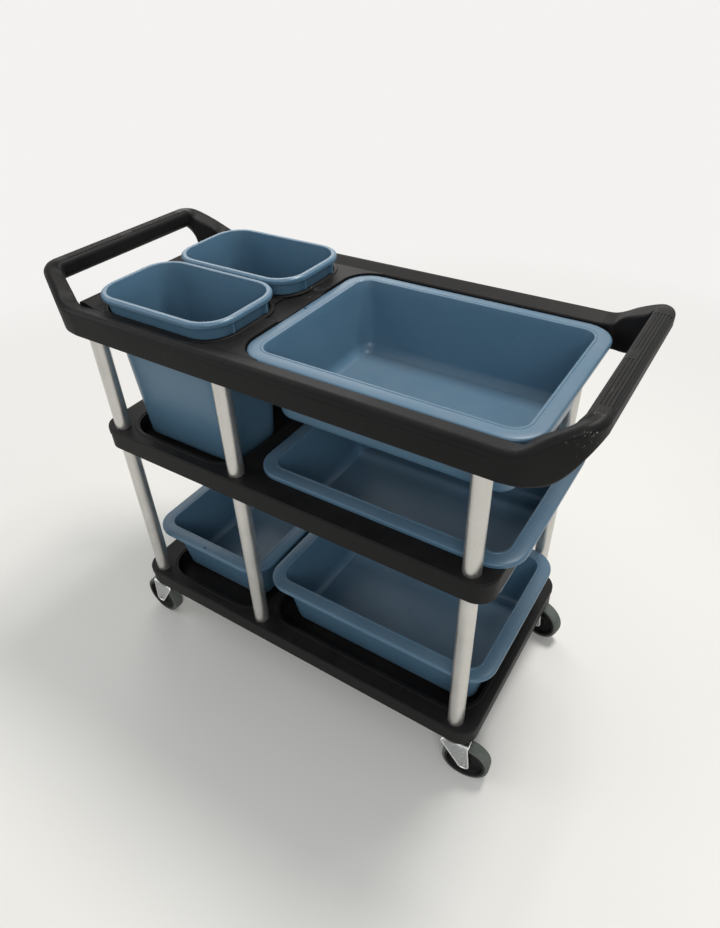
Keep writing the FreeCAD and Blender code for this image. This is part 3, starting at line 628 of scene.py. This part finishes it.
TYRE = mirrored([
    (50.0, 0.0), (49.95, 3.5), (49.8, 6.8), (49.55, 9.2), (49.3, 9.9), (48.75, 10.2), (48.7, 10.7),
    (49.0, 11.1), (48.9, 11.9), (48.4, 12.8), (47.6, 13.4), (46.4, 13.8), (45.2, 13.9), (44.4, 13.8),
    (44.0, 13.3), (43.4, 13.2), (42.6, 12.6), (41.5, 12.0),
])
WHEEL = mirrored([
    (42.0, 12.4), (42.4, 13.2), (42.9, 13.7), (42.8, 14.0), (42.0, 14.0), (39.0, 13.9), (38.2, 13.4),
    (37.6, 11.8), (36.8, 8.6), (35.6, 6.2), (33.6, 4.9), (31.0, 4.3), (25.6, 4.1), (25.2, 4.7), (23.4, 4.7),
    (23.0, 4.1), (18.2, 3.9), (15.0, 4.2), (12.8, 5.1), (11.4, 6.8), (10.8, 9.2), (10.5, 12.6), (10.2, 14.2),
    (9.6, 15.0), (8.8, 15.2), (7.0, 15.2), (6.8, 14.8), (5.0, 14.8), (4.3, 14.4),
])
RIVET = [(r * mm, y * mm) for r, y in (
    (0.2, 20.7), (1.4, 20.7), (1.6, 20.1), (2.1, 20.2), (3.0, 20.75), (3.7, 20.4), (4.1, 19.7), (4.2, 19.05),
    (5.6, 18.95), (5.9, 18.7), (5.95, 18.15), (5.7, 17.9), (3.95, 17.9),
)]
AXLE = RIVET + [(r, -y) for r, y in reversed(RIVET)]


# The pressed fork, in millimetres from the ground under the swivel axis
FORK_TOP = 112.0
FORK_OUTER = 18.0           # from the fork's middle to a leg's outer face
FORK_BEND = 6.0             # radius of the bend between a leg and the crown
FORK_SHEET = 2.5
CROWN_FRONT, CROWN_BACK = 3.5, 1.5      # the crown stands in from the legs' edges by these
BEAD_WIDTH, BEAD_HEIGHT = 2.8, 1.5      # of the turned edge
BORDER = 5                  # columns and rows at each edge that take the edge material, painted bright as a highlight


def leg_outline():
    """A fork leg's edge in (along, up), from its upper front round its tip to its upper back."""
    front, back = (-26.0, FORK_TOP), (35.0, FORK_TOP)
    tip_front, tip_back = (22.0, 37.0), (43.0, 37.0)
    points = [front, tip_front, tip_back, back]
    rounds = [0, 10.0, 10.0, 0]
    out = [front]
    for i in (1, 2):
        a, b, c = (Vector(points[i + k]) for k in (-1, 0, 1))
        u, v = (a - b).normalized(), (c - b).normalized()
        half = u.angle(v) / 2
        back_off = rounds[i] / math.tan(half)
        centre = b + (u + v).normalized() * (rounds[i] / math.sin(half))
        start, end = b + u * back_off - centre, b + v * back_off - centre
        sweep = start.angle_signed(end)
        for k in range(11):
            turned_by = -sweep * k / 10
            c2, s2 = math.cos(turned_by), math.sin(turned_by)
            out.append(tuple(centre + Vector((start.x * c2 - start.y * s2, start.x * s2 + start.y * c2))))
    out.append(back)
    return out


def spans(outline, z):
    """Where the outline is crossed at a level: its front and back."""
    hits = []
    for (x1, z1), (x2, z2) in zip(outline, outline[1:]):
        if (z1 - z) * (z2 - z) <= 0 and abs(z1 - z2) > 1e-9:
            hits.append(x1 + (x2 - x1) * (z - z1) / (z2 - z1))
    return min(hits), max(hits)


def edge_distance(outline, x, z):
    """How far a point lies from the outline."""
    best = 99.0
    p = Vector((x, z))
    for a, b in zip(outline, outline[1:]):
        a, b = Vector(a), Vector(b)
        if (b - a).length < 1e-6:
            continue
        share = min(max((p - a).dot(b - a) / (b - a).length_squared, 0), 1)
        best = min(best, (a + (b - a) * share - p).length)
    return best


def bead_height(distance):
    """The turned edge of the pressing stands proud of its face."""
    if distance >= BEAD_WIDTH:
        return 0.0
    return BEAD_HEIGHT * math.sin(math.pi * (distance + 0.5) / (BEAD_WIDTH + 0.5)) ** 0.7


def fork_shell():
    """Outer and inner skin of the pressed fork, as rows across the sheet from one tip to the other."""
    outline = leg_outline()
    low = min(z for x, z in outline) + 0.02
    levels = [0, 0.3, 0.8, 1.5, 2.3, 3.1, 4.2, 6, 8.5, 12, 18, 26, 34, 42, 50, 58]
    section = [("leg", low + z) for z in levels]
    section += [("bend", a) for a in (0, 15, 30, 45, 60, 75, 90)]
    section += [("crown", y) for y in (9.0, 6.0, 3.0, 0.0)]
    edge_steps = [0, 0.3, 0.7, 1.2, 1.8, 2.4, 3.0]
    half_rows = []
    for kind, value in section:
        if kind == "leg":
            y, z, normal = FORK_OUTER, value, (1.0, 0.0)
            front, back = spans(outline, value)
        else:
            front, back = spans(outline, FORK_TOP - FORK_BEND)
            if kind == "bend":
                a = math.radians(value)
                normal = (math.cos(a), math.sin(a))
                y = FORK_OUTER - FORK_BEND + FORK_BEND * math.cos(a)
                z = FORK_TOP - FORK_BEND + FORK_BEND * math.sin(a)
                front += CROWN_FRONT * math.sin(a) ** 1.5
                back += CROWN_BACK * math.sin(a)
            else:
                y, z, normal = value, FORK_TOP, (0.0, 1.0)
                front += CROWN_FRONT
                back += CROWN_BACK
        width = back - front
        margins = [min(d, width * 0.46 * k / 6) for k, d in enumerate(edge_steps)]
        xs = [front + d for d in margins]
        xs += [front + margins[-1] + (width - 2 * margins[-1]) * k / 8 for k in range(1, 8)]
        xs += [back - d for d in reversed(margins)]
        half_rows.append((kind, y, z, normal, front, back, xs))
    full = half_rows + [
        (kind, -y, z, (-normal[0], normal[1]), front, back, xs)
        for kind, y, z, normal, front, back, xs in reversed(half_rows[:-1])
    ]
    rows_out, rows_in = [], []
    for kind, y, z, normal, front, back, xs in full:
        out_row, in_row = [], []
        for x in xs:
            if kind == "leg":
                gap = edge_distance(outline, x, z)
            else:
                gap = min(x - front, back - x)
            raised = bead_height(gap)
            out_row.append((x, y + normal[0] * raised, z + normal[1] * raised))
            inner = FORK_SHEET - 0.6 * raised
            in_row.append((x, y - normal[0] * inner, z - normal[1] * inner))
        rows_out.append(out_row)
        rows_in.append(in_row)
    return rows_out, rows_in


def grid_solid(rows_out, rows_in):
    """Faces of a sheet from its outer and inner rows, with its edge closed."""
    height, width = len(rows_out), len(rows_out[0])
    points = [p for row in rows_out for p in row] + [p for row in rows_in for p in row]
    base = height * width
    faces = []
    edge = []
    for i in range(height - 1):
        for k in range(width - 1):
            a = i * width + k
            if k < BORDER or k > width - 2 - BORDER or i < BORDER or i > height - 2 - BORDER:
                edge.append(len(faces))
            faces.append((a, a + 1, a + width + 1, a + width))
            faces.append((base + a + width, base + a + width + 1, base + a + 1, base + a))
    border = list(range(width))
    border += [i * width + width - 1 for i in range(1, height)]
    border += [(height - 1) * width + k for k in range(width - 2, -1, -1)]
    border += [i * width for i in range(height - 2, 0, -1)]
    for a, b in zip(border, border[1:] + border[:1]):
        edge.append(len(faces))
        faces.append((b, a, base + a, base + b))
    return points, faces, edge


# The fork's dome, as radius and height above the ground
DOME = [
    (6.2, 109.4), (15.4, 109.4), (15.8, 111.6), (17.6, 112.4), (19.4, 113.6), (21.4, 115.2), (23.4, 116.2),
    (23.9, 116.9), (24.0, 118.2), (23.6, 118.8), (22.8, 119.0), (14.0, 119.0), (13.2, 118.6), (12.4, 117.8),
    (11.0, 117.6), (6.2, 117.6),
]


def caster(corner):
    """The tread, wheel centre, rivet and pressed fork of one caster."""
    pivot = Vector(joints[corner + "_turn"]["pos_m"])
    centre = Vector(joints[corner + "_roll"]["pos_m"])
    ahead = Vector((centre.x - pivot.x, centre.y - pivot.y, 0)).normalized()
    aside = Vector((0, 0, 1)).cross(ahead)
    foot = Vector((pivot.x, pivot.y, cad_low.z))

    def at_wheel(along, side, up):
        return centre + ahead * along + aside * side + Vector((0, 0, up))

    def at_pin(x, y, z):
        return foot + ahead * (x * mm) + aside * (y * mm) + Vector((0, 0, z * mm))

    roller, swivel = corner + "_roller", corner + "_swivel"
    for name, node, profile, count, body, slot in (
        ("_tread", "_tyre", TYRE, 96, roller, "tread_rubber"),
        ("_wheel_centre", "_wheel", WHEEL, 84, roller, "wheel_plastic"),
        ("_rivet", "_axle", AXLE, 36, swivel, "fixing_steel"),
    ):
        points, faces = lathe(profile, at_wheel, count)
        piece = mesh_piece(corner + name, body, points, faces, slot, 40)
        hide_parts(corner + node)

    points, faces, edge = grid_solid(*fork_shell())
    points = [at_pin(*p) for p in points]
    start = len(points)
    dome_points, dome_faces = lathe(DOME, lambda x, z, y: at_pin(x, y, z), 48)
    points += dome_points
    faces += [tuple(start + i for i in reversed(face)) for face in dome_faces]
    piece = mesh_piece(corner + "_fork_pressing", swivel, points, faces, "zinc_steel", 35, edge)
    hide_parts(corner + "_fork")


for corner in ("front_left", "front_right", "back_left", "back_right"):
    caster(corner)


# Raised lips round the openings and recesses of the shelves

BIN_RISE, BIN_HEIGHT = 33 * mm, 324 * mm    # of a bin above the deck, and in all
BIN_LIP_GAP = 3.6 * mm      # from a bin's wall at the deck to the lip round it
LIP_SINK = 1.5 * mm         # a lip reaches this far into the shelf
RECESS_LIP_GAP = 4 * mm     # from a recess's edge to its lip


def lip(name, middle, half, corner, z, width, height):
    """A low rounded ridge that runs round an opening; half is its inner half length and width."""
    cx, cy = middle
    rings = []
    for out, up in (
        (0.0, -LIP_SINK), (0.0, 0.6 * height), (0.08, 0.85 * height), (0.22, height), (0.5, 1.04 * height),
        (0.78, height), (0.92, 0.8 * height), (1.0, 0.35 * height), (1.06, -LIP_SINK),
    ):
        step = out * width
        rings.append(rounded_ring(cx, cy, half[0] + step, half[1] + step, corner + step, z + up))
    points, faces = joined_rings(rings, closed_ends=False)
    count = len(rings[0])
    last = (len(rings) - 1) * count
    faces += [(last + k, last + (k + 1) % count, (k + 1) % count, k) for k in range(count)]
    mesh_piece(name, "trolley", points, faces, "shelf_plastic", 60)


for node in ("front_bin", "back_bin"):
    cx, cy, z0, length, width, height = middle_and_size(node)
    share = BIN_RISE / BIN_HEIGHT
    half = (
        length / 2 - (BIN.rim + BIN.taper[0] * share - BIN_LIP_GAP),
        width / 2 - (BIN.rim + BIN.taper[1] * share - BIN_LIP_GAP),
    )
    lip(node + "_lip", (cx, cy), half, 56 * mm, z0 + height - BIN_RISE, 8 * mm, 1.7 * mm)

bottom_top, mid_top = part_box("bottom_shelf")[1].z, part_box("mid_shelf")[1].z
web_x = middle_and_size("lower_post_front_mid")[0]
left_recess = ((-390 * mm, web_x - 17 * mm), 212 * mm)     # from and to along the shelf, half width
right_recess = ((web_x + 7 * mm, 416 * mm), 198 * mm)
for name, ((x0, x1), half_y), z in (
    ("bottom_left_lip", left_recess, bottom_top),
    ("mid_left_lip", left_recess, mid_top),
    ("bottom_right_lip", right_recess, bottom_top),
):
    half = ((x1 - x0) / 2 + RECESS_LIP_GAP, half_y + RECESS_LIP_GAP)
    lip(name, ((x0 + x1) / 2, 0), half, 64 * mm, z, 5 * mm, 1.2 * mm)


# Floor, light and camera

BACKDROP = (*srgb(243, 242, 240), 1)


def floor_material():
    """A pale floor that glows into the backdrop away from the trolley."""
    n = Nodes("pale_floor")
    cloud = n.noise(1.4, 3, 0.5)
    colour = n.blend(cloud, srgb(222, 219, 213), srgb(228, 226, 221))
    n.finish(colour, 0.75, None, 0.0, 0.25)
    away = n.add("ShaderNodeVectorMath", operation="LENGTH")
    n.link(n.place, away.inputs[0])
    far = n.span(away.outputs["Value"], 0.9, 2.6)
    rays = n.add("ShaderNodeLightPath")
    seen = n.maths("MULTIPLY", far, rays.outputs["Is Camera Ray"])
    glow = n.add("ShaderNodeEmission")
    glow.inputs["Color"].default_value = BACKDROP
    mix = n.add("ShaderNodeMixShader")
    n.link(seen, mix.inputs[0])
    n.link(n.shader.outputs[0], mix.inputs[1])
    n.link(glow.outputs[0], mix.inputs[2])
    n.link(mix.outputs[0], n.output.inputs["Surface"])
    return n.material


floor_mesh = bpy.data.meshes.new("floor")
reach = 40.0
floor_mesh.from_pydata(
    [(-reach, -reach, 0), (reach, -reach, 0), (reach, reach, 0), (-reach, reach, 0)], [], [(0, 1, 2, 3)]
)
floor_mesh.materials.append(floor_material())
floor = bpy.data.objects.new("floor", floor_mesh)
floor.location.z = cad_low.z
bpy.context.scene.collection.objects.link(floor)


def area_light(name, location, target, size, power, colour):
    lamp = bpy.data.lights.new(name, "AREA")
    lamp.shape = "DISK"
    lamp.size = size
    lamp.energy = power
    lamp.color = colour
    obj = bpy.data.objects.new(name, lamp)
    obj.location = location
    obj.rotation_mode = "QUATERNION"
    obj.rotation_quaternion = (Vector(target) - Vector(location)).to_track_quat("-Z", "Y")
    bpy.context.scene.collection.objects.link(obj)


area_light("key", (0.6, 1.0, 3.3), (0, 0, 0.5), 0.9, 70, (1.0, 0.985, 0.96))
area_light("fill", (-2.6, -1.6, 1.7), (0, 0, 0.4), 2.0, 18, (0.95, 0.98, 1.0))
area_light("front", (1.9, -2.7, 2.5), (0, 0, 0.6), 1.7, 44, (0.97, 0.985, 1.0))
area_light("back", (-2.4, 2.6, 2.3), (0, 0, 0.6), 2.6, 28, (1.0, 0.99, 0.97))

# The world lights the trolley softly and shows the backdrop to the camera and in reflections
world = bpy.data.worlds.new("studio")
bpy.context.scene.world = world
world.use_nodes = True
tree = world.node_tree
ambient = tree.nodes["Background"]
ambient.inputs["Color"].default_value = (0.93, 0.965, 1.0, 1)
ambient.inputs["Strength"].default_value = 0.46
white = tree.nodes.new("ShaderNodeBackground")
white.inputs["Color"].default_value = BACKDROP
white.inputs["Strength"].default_value = 1.0
rays = tree.nodes.new("ShaderNodeLightPath")
either = tree.nodes.new("ShaderNodeMath")
either.operation = "MAXIMUM"
tree.links.new(rays.outputs["Is Camera Ray"], either.inputs[0])
tree.links.new(rays.outputs["Is Glossy Ray"], either.inputs[1])
both = tree.nodes.new("ShaderNodeMixShader")
tree.links.new(either.outputs[0], both.inputs[0])
tree.links.new(ambient.outputs[0], both.inputs[1])
tree.links.new(white.outputs[0], both.inputs[2])
tree.links.new(both.outputs[0], tree.nodes["World Output"].inputs["Surface"])

# The camera, solved from the photo's floor tiles and the trolley's posts and wheels
camera_data = bpy.data.cameras.new("camera")
camera_data.sensor_width = 36
camera_data.lens = 26.23
camera = bpy.data.objects.new("camera", camera_data)
right = Vector((0.8433, 0.5368, -0.0262))
up = Vector((-0.3137, 0.5313, 0.7870))
back = right.cross(up)
turn = Matrix((right, up, back)).transposed()
camera.matrix_world = Matrix.Translation((0.6617, -0.9204, 1.3857)) @ turn.to_4x4()
bpy.context.scene.collection.objects.link(camera)
bpy.context.scene.camera = camera
bpy.context.scene.view_settings.view_transform = "Standard"
